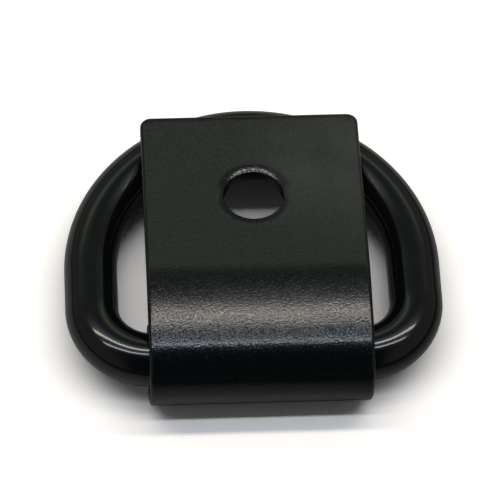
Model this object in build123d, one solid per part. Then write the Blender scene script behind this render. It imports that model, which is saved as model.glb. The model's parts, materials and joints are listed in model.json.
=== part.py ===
from build123d import *
import os
from math import acos, asin, atan2, cos, degrees, hypot, radians, sin, sqrt

# Bolt on D ring tie down, in millimetres. A steel strip has one bolt hole in its flat leg, and its
# front end is curled round the straight bar of a loose D ring. The part lies as it comes to rest on
# a level surface: the curl and the ring's far arc touch the surface, and the flat leg leans on the arc.
# +X runs along the ring's bar, +Y from the curl towards the ring's arc, and +Z up.

# D ring: one round bar, bent and welded shut
bar_diameter = 6.35
ring_inside_width = 32.3
ring_inside_length = 25.5
ring_corner_inside_radius = 4.05

# Strip of the bracket
strip_thickness = 1.8
strip_side_clearance = 2.95
curl_clearance = 0.975
curl_end_angle = 350.0

# Flat leg: how far its face stands above the curl, and where it ends
flat_rise = 1.78
flat_end_to_arc = 1.2
flat_corner_radius = 1.4

# Fall from the flat leg to the curl: a short bend, then a long gently curved ramp
bend_inside_radius = 14.5
bend_angle = 7.6
ramp_inside_radius = 26.5

# Bolt hole, with the rounded rim that the punch leaves on the upper face
bolt_hole_diameter = 7.2
bolt_hole_to_flat_end = 12.65
hole_rim_radius = 0.6

# Where the loose pieces lie at rest
bar_low_gap = 0.4
bar_low_angle = 33.0
ring_side_shift = 0.35
flat_rest_gap = 0.15

# Sizes that follow from the driving ones
bar_radius = bar_diameter / 2
ring_half_width = ring_inside_width / 2 + bar_radius
ring_length = ring_inside_length + bar_diameter
ring_corner_radius = ring_corner_inside_radius + bar_radius
ring_arc_centre = ring_length - ring_half_width
strip_width = ring_inside_width - 2 * strip_side_clearance
curl_inner_radius = bar_radius + curl_clearance
curl_outer_radius = curl_inner_radius + strip_thickness
flat_top = curl_outer_radius + flat_rise
flat_end = ring_length - flat_end_to_arc
bolt_hole_from_curl = flat_end - bolt_hole_to_flat_end


def polar(radius, angle):
    """A point of the strip's section at this distance and angle from the curl's centre."""
    return (radius * cos(radians(angle)), radius * sin(radians(angle)))


def fall_angle():
    """Slope at which the ramp meets the curl, so that neither the bend nor the curl has a corner."""
    bend_outer_radius = bend_inside_radius + strip_thickness
    ramp_outer_radius = ramp_inside_radius + strip_thickness
    bend_fall = bend_outer_radius * (1 - cos(radians(bend_angle)))
    ramp_height = flat_top - bend_fall - ramp_outer_radius * cos(radians(bend_angle))
    return degrees(acos(ramp_height / (curl_outer_radius - ramp_outer_radius)))


def strip_section():
    """Side view of the strip, with the curl's centre at the origin and the flat leg level."""
    bend_start = 90 + bend_angle
    curl_start = 90 + fall_angle()
    bend_outer_radius = bend_inside_radius + strip_thickness
    ramp_outer_radius = ramp_inside_radius + strip_thickness
    ramp_centre = polar(curl_outer_radius - ramp_outer_radius, curl_start)

    def on_ramp(radius, angle):
        along, up = polar(radius, angle)
        return (ramp_centre[0] + along, ramp_centre[1] + up)

    bend_top = on_ramp(ramp_outer_radius, bend_start)
    bend_centre = (
        bend_top[0] - polar(bend_outer_radius, bend_start)[0],
        flat_top - bend_outer_radius,
    )
    flat_start = bend_centre[0]
    flat_bottom = flat_top - strip_thickness

    with BuildSketch(Plane.YZ.offset(-strip_width / 2)) as section:
        with BuildLine():
            Line((flat_end, flat_top), (flat_start, flat_top))
            CenterArc(bend_centre, bend_outer_radius, 90, bend_angle)
            CenterArc(ramp_centre, ramp_outer_radius, bend_start, curl_start - bend_start)
            CenterArc((0, 0), curl_outer_radius, curl_start, curl_end_angle - curl_start)
            Line(polar(curl_outer_radius, curl_end_angle), polar(curl_inner_radius, curl_end_angle))
            CenterArc((0, 0), curl_inner_radius, curl_end_angle, curl_start - curl_end_angle)
            CenterArc(ramp_centre, ramp_inside_radius, curl_start, bend_start - curl_start)
            CenterArc(bend_centre, bend_inside_radius, bend_start, -bend_angle)
            Line((flat_start, flat_bottom), (flat_end, flat_bottom))
            Line((flat_end, flat_bottom), (flat_end, flat_top))
        make_face()
    return section.sketch


def make_bracket():
    """The strip in the bracket's frame: curl's centre line on the X axis, flat leg level."""
    with BuildPart() as bracket:
        extrude(strip_section(), amount=strip_width, dir=(1, 0, 0))
        far_corners = bracket.edges().filter_by(Axis.Z).group_by(Axis.Y)[-1]
        fillet(far_corners, radius=flat_corner_radius)
        with Locations((0, bolt_hole_from_curl, flat_top)):
            Hole(radius=bolt_hole_diameter / 2, depth=2 * strip_thickness)
        rim = bracket.edges().filter_by(GeomType.CIRCLE).filter_by(
            lambda edge: abs(edge.radius - bolt_hole_diameter / 2) < 0.01
        ).sort_by(Axis.Z)[-1]
        fillet(rim, radius=hole_rim_radius)
    return bracket.part


def make_ring():
    """The ring in its own frame: the bar's centre line on the X axis, the arc towards +Y."""
    straight = ring_half_width - ring_corner_radius
    with BuildLine() as path:
        Line((-straight, 0), (straight, 0))
        CenterArc((straight, ring_corner_radius), ring_corner_radius, 270, 90)
        Line((ring_half_width, ring_corner_radius), (ring_half_width, ring_arc_centre))
        CenterArc((0, ring_arc_centre), ring_half_width, 0, 180)
        Line((-ring_half_width, ring_arc_centre), (-ring_half_width, ring_corner_radius))
        CenterArc((-straight, ring_corner_radius), ring_corner_radius, 180, 90)
    with BuildPart() as ring:
        with BuildSketch(Plane.YZ.offset(-straight)):
            Circle(bar_radius)
        sweep(path=path.wires()[0])
    return ring.part


# In the bracket's frame the bar lies low and forward in the curl.
bar_play = curl_clearance - bar_low_gap
bar_along = -bar_play * sin(radians(bar_low_angle))
bar_up = -bar_play * cos(radians(bar_low_angle))

# The flat leg rests on the ring where the arc crosses under its far edge, or on the top of the arc.
arc_room = flat_top - strip_thickness - flat_rest_gap - bar_radius - bar_up
edge_angle = atan2(arc_room, flat_end - bar_along)
crest_angle = asin(arc_room / ring_length)
ring_angle = max(edge_angle, crest_angle)
arc_along = bar_along + ring_length * cos(ring_angle)
arc_up = bar_up + ring_length * sin(ring_angle)

# Both pieces then tilt together about the curl, until the curl and the arc touch the surface.
arc_distance = hypot(arc_along, arc_up)
arc_drop = curl_outer_radius - bar_radius
flat_tilt = atan2(arc_up, arc_along) + asin(arc_drop / arc_distance)

# The origin is at the bottom of the part, under the middle of its width and depth.
front_y = -curl_outer_radius
back_y = sqrt(arc_distance**2 - arc_drop**2) + bar_radius
middle_y = (front_y + back_y) / 2

at_rest = Pos(0, -middle_y, curl_outer_radius) * Rot(X=-degrees(flat_tilt))
bracket = at_rest * Pos(X=ring_side_shift) * make_bracket()
d_ring = at_rest * Pos(0, bar_along, bar_up) * Rot(X=degrees(ring_angle)) * make_ring()

os.makedirs("parts", exist_ok=True)
export_step(bracket, "parts/bracket.step")
export_step(d_ring, "parts/d_ring.step")
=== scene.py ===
import json
import math
import bmesh
import bpy
from mathutils import Matrix, Vector


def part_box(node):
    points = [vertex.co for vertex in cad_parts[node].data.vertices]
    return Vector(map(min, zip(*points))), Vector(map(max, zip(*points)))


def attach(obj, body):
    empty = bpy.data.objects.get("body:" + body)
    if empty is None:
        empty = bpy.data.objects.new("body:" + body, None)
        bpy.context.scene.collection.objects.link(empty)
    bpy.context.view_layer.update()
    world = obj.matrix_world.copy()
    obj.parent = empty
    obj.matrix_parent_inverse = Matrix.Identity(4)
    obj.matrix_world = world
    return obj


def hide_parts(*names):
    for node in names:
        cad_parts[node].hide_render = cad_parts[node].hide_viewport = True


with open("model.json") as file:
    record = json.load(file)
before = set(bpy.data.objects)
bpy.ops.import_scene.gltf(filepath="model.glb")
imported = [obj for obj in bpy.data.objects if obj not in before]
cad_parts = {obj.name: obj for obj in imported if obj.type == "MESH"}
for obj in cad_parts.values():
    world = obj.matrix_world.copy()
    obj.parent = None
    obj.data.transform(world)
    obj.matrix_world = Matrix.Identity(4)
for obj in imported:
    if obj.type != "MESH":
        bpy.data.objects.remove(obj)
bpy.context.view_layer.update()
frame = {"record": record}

# D ring: one length of 1/4 in round steel bar, bent to a D and welded shut inside the curl.
# It is dipped in a thin black coat that dries smooth and glossy.
ring_low, ring_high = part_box("d_ring")
bar_radius = 0.003175
ring_inside_length = 0.0255
corner_inside_radius = 0.00405
ring_half_width = (ring_high.x - ring_low.x) / 2 - bar_radius
corner_radius = corner_inside_radius + bar_radius
ring_length = ring_inside_length + 2 * bar_radius
arc_centre = ring_length - ring_half_width
bar_half_length = ring_half_width - corner_radius
side_run = arc_centre - corner_radius
bar_centre = Vector(frame["record"]["behaviour"]["joints"][0]["pos_m"])
arc_drop = bar_centre.z - bar_radius
ring_lean = math.asin(arc_drop / ring_length)
bar_sides = 72
corner_steps = 26
arc_steps = 90
ring_seam = 0.00001
ring_specular = 0.45
coat_ior = 1.5
wave_detail = 2
grain_detail = 0
noise_middle = 0.5
axis_x = Vector((1, 0, 0))
axis_z = Vector((0, 0, 1))


def verts_of(edges):
    """The corners of these edges, each of them once."""
    return list(dict.fromkeys(vert for edge in edges for vert in edge.verts))


def spin_on(bm, edges, centre, axis, degrees, steps):
    """Carries a loop of edges round a centre, and returns the loop where it ends."""
    result = bmesh.ops.spin(
        bm,
        geom=verts_of(edges) + edges,
        cent=centre,
        axis=axis,
        angle=math.radians(degrees),
        steps=steps,
        use_merge=False,
    )
    return [part for part in result["geom_last"] if isinstance(part, bmesh.types.BMEdge)]


def run_on(bm, edges, step):
    """Carries a loop of edges along a straight run, and returns the loop where it ends."""
    result = bmesh.ops.extrude_edge_only(bm, edges=edges)
    verts = [part for part in result["geom"] if isinstance(part, bmesh.types.BMVert)]
    bmesh.ops.translate(bm, verts=verts, vec=step)
    return [part for part in result["geom"] if isinstance(part, bmesh.types.BMEdge)
            and part.verts[0] in verts and part.verts[1] in verts]


def finish_mesh(bm, name, place, material):
    """Puts a finished mesh in its place in the part, and makes it an object with smooth faces."""
    bmesh.ops.transform(bm, matrix=place, verts=bm.verts)
    bmesh.ops.recalc_face_normals(bm, faces=bm.faces)
    mesh = bpy.data.meshes.new(name)
    bm.to_mesh(mesh)
    bm.free()
    mesh.shade_smooth()
    mesh.materials.append(material)
    piece = bpy.data.objects.new(name, mesh)
    bpy.context.scene.collection.objects.link(piece)
    return piece


def feed(tree, socket, value):
    """Gives a node's input another node's output, or a plain number, place or colour."""
    if isinstance(value, bpy.types.NodeSocket):
        tree.links.new(value, socket)
    else:
        socket.default_value = value


def compute(tree, operation, *values):
    """The result of a math node that works on these values."""
    node = tree.nodes.new("ShaderNodeMath")
    node.operation = operation
    for socket, value in zip(node.inputs, values):
        feed(tree, socket, value)
    return node.outputs["Value"]


def mix_colours(tree, factor, first, second):
    """The colour that a factor of 0 to 1 picks between the first colour and the second."""
    mix = tree.nodes.new("ShaderNodeMix")
    mix.data_type = "RGBA"
    feed(tree, mix.inputs["Factor"], factor)
    feed(tree, mix.inputs["A"], first)
    feed(tree, mix.inputs["B"], second)
    return mix.outputs["Result"]


def distance_from(tree, centre):
    """How far the shaded spot lies from a centre, in the object's own frame."""
    place = tree.nodes.new("ShaderNodeTexCoord")
    away = tree.nodes.new("ShaderNodeVectorMath")
    away.operation = "DISTANCE"
    feed(tree, away.inputs[0], place.outputs["Object"])
    feed(tree, away.inputs[1], centre)
    return away.outputs["Value"]


def rise(tree, value, start, end, shape):
    """A mask that rises from 0 where the value is at the start to 1 where it is at the end."""
    reach = tree.nodes.new("ShaderNodeMapRange")
    reach.interpolation_type = shape
    feed(tree, reach.inputs["Value"], value)
    feed(tree, reach.inputs["From Min"], start)
    feed(tree, reach.inputs["From Max"], end)
    return reach.outputs["Result"]


def coat_surface_group():
    """Surface of a dipped coat: grain in tone, gloss and relief, slow waves, and a pale patch mixed into
    the colour round one place.
    """
    group = bpy.data.node_groups.new("coat_surface", "ShaderNodeTree")
    for name, kind in (
        ("Dark Tone", "NodeSocketColor"),
        ("Light Tone", "NodeSocketColor"),
        ("Pale Patch Tone", "NodeSocketColor"),
        ("Pale Patch Place", "NodeSocketVector"),
        ("Pale Patch Reach", "NodeSocketFloat"),
        ("Grain Scale", "NodeSocketFloat"),
        ("Grain Depth", "NodeSocketFloat"),
        ("Wave Scale", "NodeSocketFloat"),
        ("Wave Depth", "NodeSocketFloat"),
        ("Roughness", "NodeSocketFloat"),
        ("Roughness Spread", "NodeSocketFloat"),
    ):
        group.interface.new_socket(name=name, in_out="INPUT", socket_type=kind)
    for name, kind in (
        ("Colour", "NodeSocketColor"),
        ("Roughness", "NodeSocketFloat"),
        ("Normal", "NodeSocketVector"),
    ):
        group.interface.new_socket(name=name, in_out="OUTPUT", socket_type=kind)
    given = group.nodes.new("NodeGroupInput").outputs
    made = group.nodes.new("NodeGroupOutput").inputs
    place = group.nodes.new("ShaderNodeTexCoord")

    def noise_and_bump(scale, detail, depth):
        """One layer of relief: its noise, and the bump that the noise makes."""
        noise = group.nodes.new("ShaderNodeTexNoise")
        feed(group, noise.inputs["Vector"], place.outputs["Object"])
        feed(group, noise.inputs["Scale"], scale)
        feed(group, noise.inputs["Detail"], detail)
        bump = group.nodes.new("ShaderNodeBump")
        feed(group, bump.inputs["Distance"], depth)
        feed(group, bump.inputs["Height"], noise.outputs["Fac"])
        return noise.outputs["Fac"], bump

    wave, wave_bump = noise_and_bump(given["Wave Scale"], wave_detail, given["Wave Depth"])
    grain, grain_bump = noise_and_bump(given["Grain Scale"], grain_detail, given["Grain Depth"])
    feed(group, grain_bump.inputs["Normal"], wave_bump.outputs["Normal"])
    feed(group, made["Normal"], grain_bump.outputs["Normal"])

    gloss = compute(group, "SUBTRACT", grain, noise_middle)
    roughness = compute(group, "MULTIPLY_ADD", gloss, given["Roughness Spread"], given["Roughness"])
    feed(group, made["Roughness"], roughness)

    tone = mix_colours(group, grain, given["Dark Tone"], given["Light Tone"])
    # A pale patch round the given place, mottled by the slow waves, is mixed into the base colour; on
    # the bracket it is painted sheen.
    away = rise(group, distance_from(group, given["Pale Patch Place"]), 0, given["Pale Patch Reach"], "SMOOTHSTEP")
    pale_patch = compute(group, "MULTIPLY", wave, compute(group, "SUBTRACT", 1, away))
    feed(group, made["Colour"], mix_colours(group, pale_patch, tone, given["Pale Patch Tone"]))
    return group


coat_surface = coat_surface_group()


def coat_material(name, specular, settings):
    """Black coat over steel: a glossy dielectric whose tone, gloss and relief come from coat_surface."""
    material = bpy.data.materials.new(name)
    material.use_nodes = True
    tree = material.node_tree
    shader = tree.nodes["Principled BSDF"]
    shader.inputs["IOR"].default_value = coat_ior
    shader.inputs["Specular IOR Level"].default_value = specular
    surface = tree.nodes.new("ShaderNodeGroup")
    surface.node_tree = coat_surface
    for socket, value in settings.items():
        surface.inputs[socket].default_value = value
    tree.links.new(surface.outputs["Colour"], shader.inputs["Base Color"])
    tree.links.new(surface.outputs["Roughness"], shader.inputs["Roughness"])
    tree.links.new(surface.outputs["Normal"], shader.inputs["Normal"])
    return material


ring_coat = coat_material("ring_coat", ring_specular, {
    "Dark Tone": (0.0014, 0.0022, 0.0021, 1),
    "Light Tone": (0.0026, 0.0033, 0.0030, 1),
    # The pale patch only lifts the ring's tone a little round the given place.
    "Pale Patch Tone": (0.0040, 0.0042, 0.0040, 1),
    "Pale Patch Place": (0.0180, 0.0100, 0.0080),
    "Pale Patch Reach": 0.010,
    "Grain Scale": 3000,
    "Grain Depth": 0.0000006,
    "Wave Scale": 220,
    "Wave Depth": 0.000010,
    "Roughness": 0.115,
    "Roughness Spread": 0.07,
})

bm = bmesh.new()
bmesh.ops.create_circle(bm, segments=bar_sides, radius=bar_radius)
turn_to_bar = Matrix.Translation((-bar_half_length, 0, 0)) @ Matrix.Rotation(math.pi / 2, 4, "Y")
bmesh.ops.transform(bm, matrix=turn_to_bar, verts=bm.verts)
loop = run_on(bm, list(bm.edges), Vector((2 * bar_half_length, 0, 0)))
loop = spin_on(bm, loop, (bar_half_length, corner_radius, 0), axis_z, 90, corner_steps)
loop = run_on(bm, loop, Vector((0, side_run, 0)))
loop = spin_on(bm, loop, (0, arc_centre, 0), axis_z, 180, arc_steps)
loop = run_on(bm, loop, Vector((0, -side_run, 0)))
loop = spin_on(bm, loop, (-bar_half_length, corner_radius, 0), axis_z, 90, corner_steps)
bmesh.ops.remove_doubles(bm, verts=bm.verts, dist=ring_seam)
ring_place = Matrix.Translation(bar_centre) @ Matrix.Rotation(-ring_lean, 4, "X")
ring = finish_mesh(bm, "ring_bar", ring_place, ring_coat)
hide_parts("d_ring")
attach(ring, "d_ring")

# Bracket: a strip of rolled sheet steel, sheared and punched flat, then bent down and curled round
# the ring's bar. The punch and the shears leave soft rims above and sharper ones below, all coated.
bracket_low, bracket_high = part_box("bracket")
strip_width = bracket_high.x - bracket_low.x
strip_middle = (bracket_high.x + bracket_low.x) / 2
strip_thickness = 0.0018
curl_outer_radius = 0.00595
curl_end_angle = 350
curl_last_angle = 6
curl_steps = 88
flat_rise = 0.00178
flat_top = curl_outer_radius + flat_rise
flat_end_to_arc = 0.0012
flat_end = ring_length - flat_end_to_arc
flat_corner_radius = 0.0014
flat_corner_steps = 12
far_start = flat_end - flat_corner_radius
far_roll_depth = 0.00010
bend_outer_radius = 0.0163
bend_angle = 7.6
bend_steps = 10
ramp_outer_radius = 0.0283
ramp_steps = 20
hole_radius = 0.0036
hole_to_flat_end = 0.01265
hole_centre = Vector((0, flat_end - hole_to_flat_end))
hole_sides = 96
punch_dip_width = 0.00115
punch_dip_depth = 0.00029
punch_dip_steps = 8
punch_dip_arc_radius = (punch_dip_width**2 + punch_dip_depth**2) / (2 * punch_dip_depth)
punch_rim = 0.00008
edge_border = 0.0012
shear_rim = 0.00050
burr_rim = 0.00008
rim_steps = 5
rim_least_angle = math.radians(50)
strip_seam = 0.000001
same_place = 0.00001
close_by = 0.0001
normal_weight = 50
bracket_specular = 0.4
flat_normal = Vector(frame["record"]["mounts"][1]["axis"])
flat_tilt = math.atan2(flat_normal.y, flat_normal.z)

bend_fall = bend_outer_radius * (1 - math.cos(math.radians(bend_angle)))
ramp_height = flat_top - bend_fall - ramp_outer_radius * math.cos(math.radians(bend_angle))
fall_angle = math.degrees(math.acos(ramp_height / (curl_outer_radius - ramp_outer_radius)))
curl_angle = curl_end_angle - 90 - fall_angle
curl_centre = Vector((0, 0, 0))
ramp_centre = Vector((
    0,
    (ramp_outer_radius - curl_outer_radius) * math.sin(math.radians(fall_angle)),
    (curl_outer_radius - ramp_outer_radius) * math.cos(math.radians(fall_angle)),
))
bend_centre = Vector((
    0,
    ramp_centre.y - (ramp_outer_radius - bend_outer_radius) * math.sin(math.radians(bend_angle)),
    flat_top - bend_outer_radius,
))
flat_length = flat_end - bend_centre.y

bracket_coat = coat_material("bracket_coat", bracket_specular, {
    "Dark Tone": (0.0011, 0.0020, 0.0022, 1),
    "Light Tone": (0.0026, 0.0033, 0.0033, 1),
    # The pale patch on the flat leg's upper right is painted sheen: a lighter tone that stands in for a
    # brighter reflection there.
    "Pale Patch Tone": (0.0360, 0.0370, 0.0350, 1),
    "Pale Patch Place": (0.0110, 0.0090, 0.0090),
    "Pale Patch Reach": 0.015,
    "Grain Scale": 5300,
    "Grain Depth": 0.000014,
    "Wave Scale": 160,
    "Wave Depth": 0.000040,
    "Roughness": 0.17,
    "Roughness Spread": 0.36,
})


def from_hole(place):
    """How far a place on the strip lies from the bolt hole's axis."""
    return (place.xy - hole_centre).length


def edge_middle(edge):
    """The middle of an edge."""
    return (edge.verts[0].co + edge.verts[1].co) / 2


def is_sharp(edge):
    """Whether two faces meet at this edge in a corner that is still to be rounded."""
    return len(edge.link_faces) == 2 and edge.calc_face_angle() >= rim_least_angle


def is_rim(edge, below):
    """Whether an edge is a sheared or punched corner of the strip's upper or lower face."""
    if not is_sharp(edge):
        return False
    middle = edge_middle(edge)
    if middle.y > bend_centre.y:
        depth = flat_top - middle.z
    else:
        depth = curl_outer_radius - middle.yz.length
        if middle.z > 0 and math.degrees(math.atan2(-middle.y, middle.z)) < fall_angle:
            depth = ramp_outer_radius - (middle - ramp_centre).yz.length
            from_bend = middle - bend_centre
            if math.degrees(math.atan2(-from_bend.y, from_bend.z)) < bend_angle:
                depth = bend_outer_radius - from_bend.yz.length
    return (depth > strip_thickness / 2) == below


def in_hole(edge):
    """Whether an edge is on the bolt hole's wall."""
    return from_hole(edge_middle(edge)) < hole_radius + close_by


def round_rims(bm, edges, radius):
    """Rounds these corners of the strip."""
    bmesh.ops.bevel(
        bm,
        geom=edges,
        offset=radius,
        offset_type="OFFSET",
        segments=rim_steps,
        profile=0.5,
        affect="EDGES",
        clamp_overlap=False,
        loop_slide=True,
        material=-1,
    )


# The flat leg's outline: a square of side 1 drawn out to size, its far corners rounded, and the hole.
bm = bmesh.new()
flat_place = Matrix.Translation((0, bend_centre.y + flat_length / 2, flat_top))
flat_size = Matrix.Diagonal((strip_width, flat_length, 1, 1))
bmesh.ops.create_grid(bm, x_segments=1, y_segments=1, size=0.5)
bmesh.ops.transform(bm, matrix=flat_place @ flat_size, verts=bm.verts)
bmesh.ops.bevel(
    bm,
    geom=[vert for vert in bm.verts if vert.co.y > hole_centre.y],
    offset=flat_corner_radius,
    offset_type="OFFSET",
    segments=flat_corner_steps,
    profile=0.5,
    affect="VERTICES",
    material=-1,
)
bmesh.ops.delete(bm, geom=list(bm.faces), context="FACES_ONLY")
hole_place = Matrix.Translation((hole_centre.x, hole_centre.y, flat_top))
dip_radii = [
    hole_radius + punch_dip_width * (1 - step / punch_dip_steps)
    for step in range(punch_dip_steps + 1)
]
bmesh.ops.create_circle(bm, segments=hole_sides, radius=dip_radii[0], matrix=hole_place)
bmesh.ops.triangle_fill(bm, use_beauty=True, use_dissolve=False, edges=bm.edges, normal=axis_z)
bmesh.ops.inset_region(
    bm,
    faces=bm.faces,
    use_boundary=True,
    use_even_offset=True,
    thickness=edge_border,
)

# Narrowing rings of edges where the punch leaves its dip, then the bend, the ramp and the curl.
border = [edge for edge in bm.edges if edge.is_boundary]
near_edge = [
    edge for edge in border
    if all(vert.co.y < bend_centre.y + close_by for vert in edge.verts)
]
hole_edge = [edge for edge in border if from_hole(edge.verts[0].co) < dip_radii[0] + close_by]
for outer, inner in zip(dip_radii, dip_radii[1:]):
    hole_edge = run_on(bm, hole_edge, Vector((0, 0, 0)))
    bmesh.ops.scale(
        bm,
        vec=(inner / outer, inner / outer, 1),
        space=hole_place.inverted(),
        verts=verts_of(hole_edge),
    )
loop = spin_on(bm, near_edge, bend_centre, axis_x, bend_angle, bend_steps)
loop = spin_on(bm, loop, ramp_centre, axis_x, fall_angle - bend_angle, ramp_steps)
loop = spin_on(bm, loop, curl_centre, axis_x, curl_angle - curl_last_angle, curl_steps)
spin_on(bm, loop, curl_centre, axis_x, curl_last_angle, 1)

# The strip's thickness, which goes down from the upper face.
bmesh.ops.remove_doubles(bm, verts=bm.verts, dist=strip_seam)
bmesh.ops.recalc_face_normals(bm, faces=bm.faces)
upward = sum(
    face.normal.z * face.calc_area() for face in bm.faces
    if face.calc_center_median().y > bend_centre.y
)
if upward < 0:
    bmesh.ops.reverse_faces(bm, faces=bm.faces)
bmesh.ops.solidify(bm, geom=list(bm.faces), thickness=strip_thickness)
bmesh.ops.recalc_face_normals(bm, faces=bm.faces)

# The dip falls to the hole along an arc, and the far edge rolls down a little from the shears.
upper_verts = [vert for vert in bm.verts if vert.co.z > flat_top - same_place]
far_verts = [
    vert for vert in upper_verts
    if vert.co.y > far_start and any(is_sharp(edge) for edge in vert.link_edges)
]
for radius in dip_radii[1:]:
    dip_verts = [vert for vert in upper_verts if abs(from_hole(vert.co) - radius) < same_place]
    along = dip_radii[0] - radius
    fall = punch_dip_arc_radius - math.sqrt(punch_dip_arc_radius**2 - along**2)
    bmesh.ops.translate(bm, verts=dip_verts, vec=(0, 0, -fall))
for vert in far_verts:
    share = (vert.co.y - far_start) / flat_corner_radius
    bmesh.ops.translate(bm, verts=[vert], vec=(0, 0, -far_roll_depth * share**2))

# The rims: soft above, where the shears went in, and sharper below and round the hole.
round_rims(bm, [edge for edge in bm.edges if is_rim(edge, False) and not in_hole(edge)], shear_rim)
round_rims(bm, [edge for edge in bm.edges if is_rim(edge, True)], burr_rim)
round_rims(bm, [edge for edge in bm.edges if is_rim(edge, False) and in_hole(edge)], punch_rim)

curl_place = Vector((strip_middle, bracket_low.y + curl_outer_radius, curl_outer_radius))
bracket_place = Matrix.Translation(curl_place) @ Matrix.Rotation(-flat_tilt, 4, "X")
strip = finish_mesh(bm, "strip", bracket_place, bracket_coat)
even_normals = strip.modifiers.new("even_normals", "WEIGHTED_NORMAL")
even_normals.mode = "FACE_AREA"
even_normals.weight = normal_weight
even_normals.keep_sharp = False
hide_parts("bracket")
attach(strip, "bracket")

# Floor: the white board that the part lies on, plain and matt. It is brighter to the camera and
# darker in the coat's reflections than its own white, and darkest there far from the part.
floor_size = 3.0
floor_gap = 0.00002
floor_roughness = 0.9
floor_white = (0.90, 0.89, 0.87, 1)
floor_seen = (1.25, 1.22, 1.18, 1)
floor_mirrored = (0.37, 0.37, 0.37, 1)
far_floor_mirrored = (0.03, 0.03, 0.03, 1)
lit_middle = (-0.020, 0.020, 0)
near_reach = 0.045
far_reach = 0.087

floor_coat = bpy.data.materials.new("floor_white")
floor_coat.use_nodes = True
floor_tree = floor_coat.node_tree
floor_shader = floor_tree.nodes["Principled BSDF"]
floor_shader.inputs["Roughness"].default_value = floor_roughness
floor_shader.inputs["Specular IOR Level"].default_value = 0
floor_path = floor_tree.nodes.new("ShaderNodeLightPath")
dusk = rise(floor_tree, distance_from(floor_tree, lit_middle), near_reach, far_reach, "LINEAR")
mirrored = mix_colours(floor_tree, dusk, floor_mirrored, far_floor_mirrored)
unseen = mix_colours(floor_tree, floor_path.outputs["Is Glossy Ray"], floor_white, mirrored)
floor_tone = mix_colours(floor_tree, floor_path.outputs["Is Camera Ray"], unseen, floor_seen)
feed(floor_tree, floor_shader.inputs["Base Color"], floor_tone)

bm = bmesh.new()
bmesh.ops.create_grid(bm, x_segments=1, y_segments=1, size=floor_size / 2)
floor = finish_mesh(bm, "floor", Matrix.Translation((0, 0, -floor_gap)), floor_coat)

# Studio: two long strip lamps hang overhead, one straight above and one a little behind.
# A pale wall behind and a dark room in front give the coat its broad soft reflections.
# Each wall tone stands at an angle in degrees, from the front horizon over the top to the back.
lamp_distance = 1.5
lamp_length = 2.25
background_white = (1, 1, 1, 1)
side_tone = (0.22, 0.22, 0.20, 1)
side_start = 0.30
side_end = 0.75
wall_tones = (
    (0, (0.04, 0.05, 0.06)),
    (20, (0.015, 0.025, 0.03)),
    (62, (0.015, 0.025, 0.03)),
    (80, (0.06, 0.09, 0.13)),
    (88, (0.25, 0.45, 0.75)),
    (96, (0.25, 0.45, 0.75)),
    (104, (1.00, 1.05, 1.12)),
    (110, (1.00, 1.05, 1.12)),
    (115, (0.50, 0.54, 0.58)),
    (120, (0.20, 0.23, 0.26)),
    (127, (0.14, 0.16, 0.14)),
    (134, (0.25, 0.31, 0.25)),
    (139.4, (0.72, 0.825, 0.63)),
    (142, (1.00, 1.10, 0.89)),
    (145.5, (0.52, 0.57, 0.47)),
    (151, (0.26, 0.28, 0.26)),
    (172, (0.18, 0.19, 0.19)),
)


def strip_lamp(name, elevation, thickness, level, colour):
    """A long lamp at an angle from the front horizon, over the top, that faces the part."""
    angle = math.radians(elevation)
    towards = Vector((0, -math.cos(angle), math.sin(angle)))
    lamp = bpy.data.lights.new(name, "AREA")
    lamp.shape = "RECTANGLE"
    lamp.size = lamp_length
    lamp.size_y = thickness
    lamp.energy = level * math.pi * lamp_length * thickness
    lamp.color = colour
    holder = bpy.data.objects.new(name, lamp)
    turn = Matrix.Rotation(angle - math.pi / 2, 4, "X")
    holder.matrix_world = Matrix.Translation(towards * lamp_distance) @ turn
    bpy.context.scene.collection.objects.link(holder)


strip_lamp("lamp_front", elevation=85.4, thickness=0.090, level=13.5, colour=(0.97, 0.98, 1.04))
strip_lamp("lamp_rear", elevation=102.8, thickness=0.130, level=13.0, colour=(1.10, 1.0, 0.88))

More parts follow.
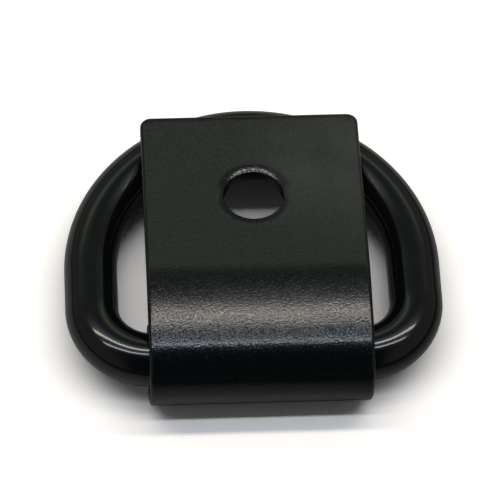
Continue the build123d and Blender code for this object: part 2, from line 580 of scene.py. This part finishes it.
room = bpy.data.worlds.new("room")
room.use_nodes = True
bpy.context.scene.world = room
room_tree = room.node_tree
direction = room_tree.nodes.new("ShaderNodeTexCoord")
parts = room_tree.nodes.new("ShaderNodeSeparateXYZ")
feed(room_tree, parts.inputs["Vector"], direction.outputs["Generated"])
forward = compute(room_tree, "MULTIPLY", parts.outputs["Y"], -1)
around = compute(room_tree, "ARCTAN2", parts.outputs["Z"], forward)
walls = room_tree.nodes.new("ShaderNodeValToRGB")
feed(room_tree, walls.inputs["Fac"], compute(room_tree, "DIVIDE", around, math.pi))
stops = walls.color_ramp.elements
stops.remove(stops[-1])
for count, (elevation, tone) in enumerate(wall_tones):
    stop = stops.new(elevation / 180) if count else stops[0]
    stop.color = (*tone, 1)
side = compute(room_tree, "ABSOLUTE", parts.outputs["X"])
dimming = rise(room_tree, side, side_start, side_end, "SMOOTHSTEP")
dimmed = mix_colours(room_tree, dimming, walls.outputs["Color"], side_tone)
room_path = room_tree.nodes.new("ShaderNodeLightPath")
seen = mix_colours(room_tree, room_path.outputs["Is Camera Ray"], dimmed, background_white)
feed(room_tree, room_tree.nodes["Background"].inputs["Color"], seen)

# Camera: the photograph's angle, from in front and well above, turned and rolled a little.
# A long lens keeps the near and the far end of the part almost to one scale.
camera_elevation = math.radians(60.589)
camera_yaw = math.radians(5.6142)
camera_roll = math.radians(3.4302)
camera_distance = 0.50158
camera_target = Vector((0.000132, 0.002957, 0))
camera_lens = 297.56
camera_sensor_width = 36
camera_clip_start = 0.01
camera_clip_end = 20

look = Vector((
    math.sin(camera_yaw) * math.cos(camera_elevation),
    math.cos(camera_yaw) * math.cos(camera_elevation),
    -math.sin(camera_elevation),
))
level_right = Vector((math.cos(camera_yaw), -math.sin(camera_yaw), 0))
level_up = level_right.cross(look)
right = level_right * math.cos(camera_roll) + level_up * math.sin(camera_roll)
up = level_up * math.cos(camera_roll) - level_right * math.sin(camera_roll)
camera_data = bpy.data.cameras.new("camera")
camera_data.lens = camera_lens
camera_data.sensor_width = camera_sensor_width
camera_data.clip_start = camera_clip_start
camera_data.clip_end = camera_clip_end
camera = bpy.data.objects.new("camera", camera_data)
camera_turn = Matrix((right, up, -look)).transposed().to_4x4()
camera.matrix_world = Matrix.Translation(camera_target - look * camera_distance) @ camera_turn
bpy.context.scene.collection.objects.link(camera)
bpy.context.scene.camera = camera
bpy.context.scene.view_settings.view_transform = "Standard"
